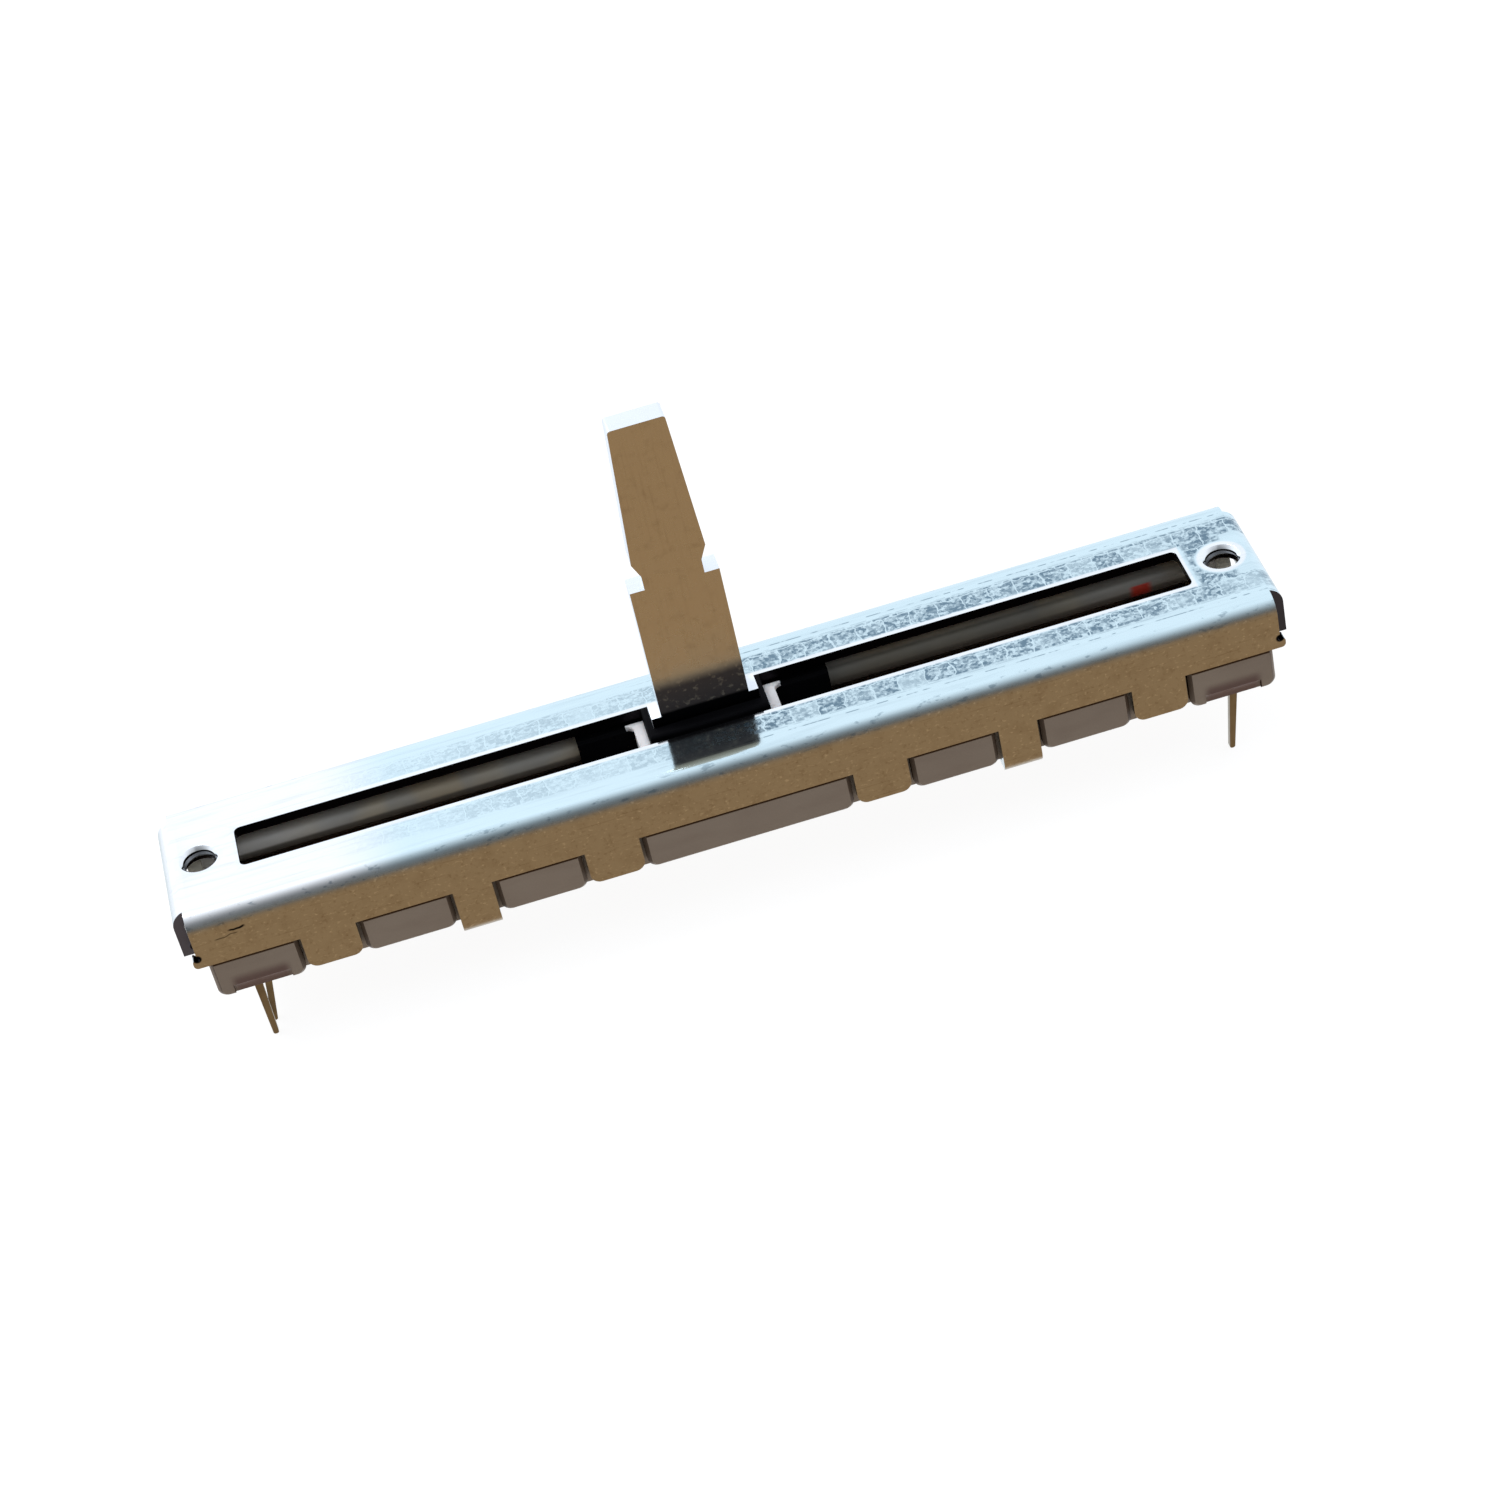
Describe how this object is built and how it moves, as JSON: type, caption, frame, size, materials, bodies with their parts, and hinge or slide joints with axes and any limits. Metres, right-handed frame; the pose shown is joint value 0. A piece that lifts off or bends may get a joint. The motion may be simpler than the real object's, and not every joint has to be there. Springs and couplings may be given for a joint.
{
  "type": "channel fader",
  "caption": "Long-travel slide potentiometer: bent steel frame with a slot, moulded tray under it, and a flat steel lever on a carriage that slides along two guide shafts.",
  "frame": {"origin": "midway between the two fixing screws, on the upper face of the frame that meets the panel", "axes": "+X along the slot, towards the end with one terminal in each row; +Y across the body, away from the viewer's side of the picture; +Z out of the panel, along the lever"},
  "size_m": [0.0858, 0.014, 0.0403],
  "materials": {
    "zinc_plated_steel": "bright zinc plating, glossy and slightly mottled",
    "taupe_plastic": "moulded taupe plastic, satin",
    "phenolic_board": "brown phenolic laminate",
    "carbon_track": "printed carbon",
    "silver_track": "printed silver",
    "tinned_brass": "tinned brass, dull",
    "ground_steel": "ground and polished",
    "black_plastic": "moulded black plastic, satin",
    "pale_nylon": "natural nylon, slightly pink",
    "spring_brass": "bright spring alloy"
  },
  "bodies": {
    "housing": {"frame": "zinc_plated_steel", "base_housing": "taupe_plastic", "resistor_board": "phenolic_board", "resistive_track_front": "carbon_track", "resistive_track_rear": "carbon_track", "collector_track_front": "silver_track", "collector_track_rear": "silver_track", "start_terminal_front": "tinned_brass", "start_terminal_rear": "tinned_brass", "finish_terminal_front": "tinned_brass", "finish_terminal_rear": "tinned_brass", "wiper_terminal_front": "tinned_brass", "wiper_terminal_rear": "tinned_brass", "terminal_rivets": "tinned_brass", "guide_shaft_front": "ground_steel", "guide_shaft_rear": "ground_steel"},
    "slider": {"carriage": "black_plastic", "end_pad_left": "pale_nylon", "end_pad_right": "pale_nylon", "lever": "zinc_plated_steel", "wiper_front": "spring_brass", "wiper_rear": "spring_brass"}
  },
  "joints": [
    {"name": "fader_slide", "type": "slide", "parent": "housing", "child": "slider", "axis": [1, 0, 0], "range_m": [-0.0293, 0.0307]}
  ]
}
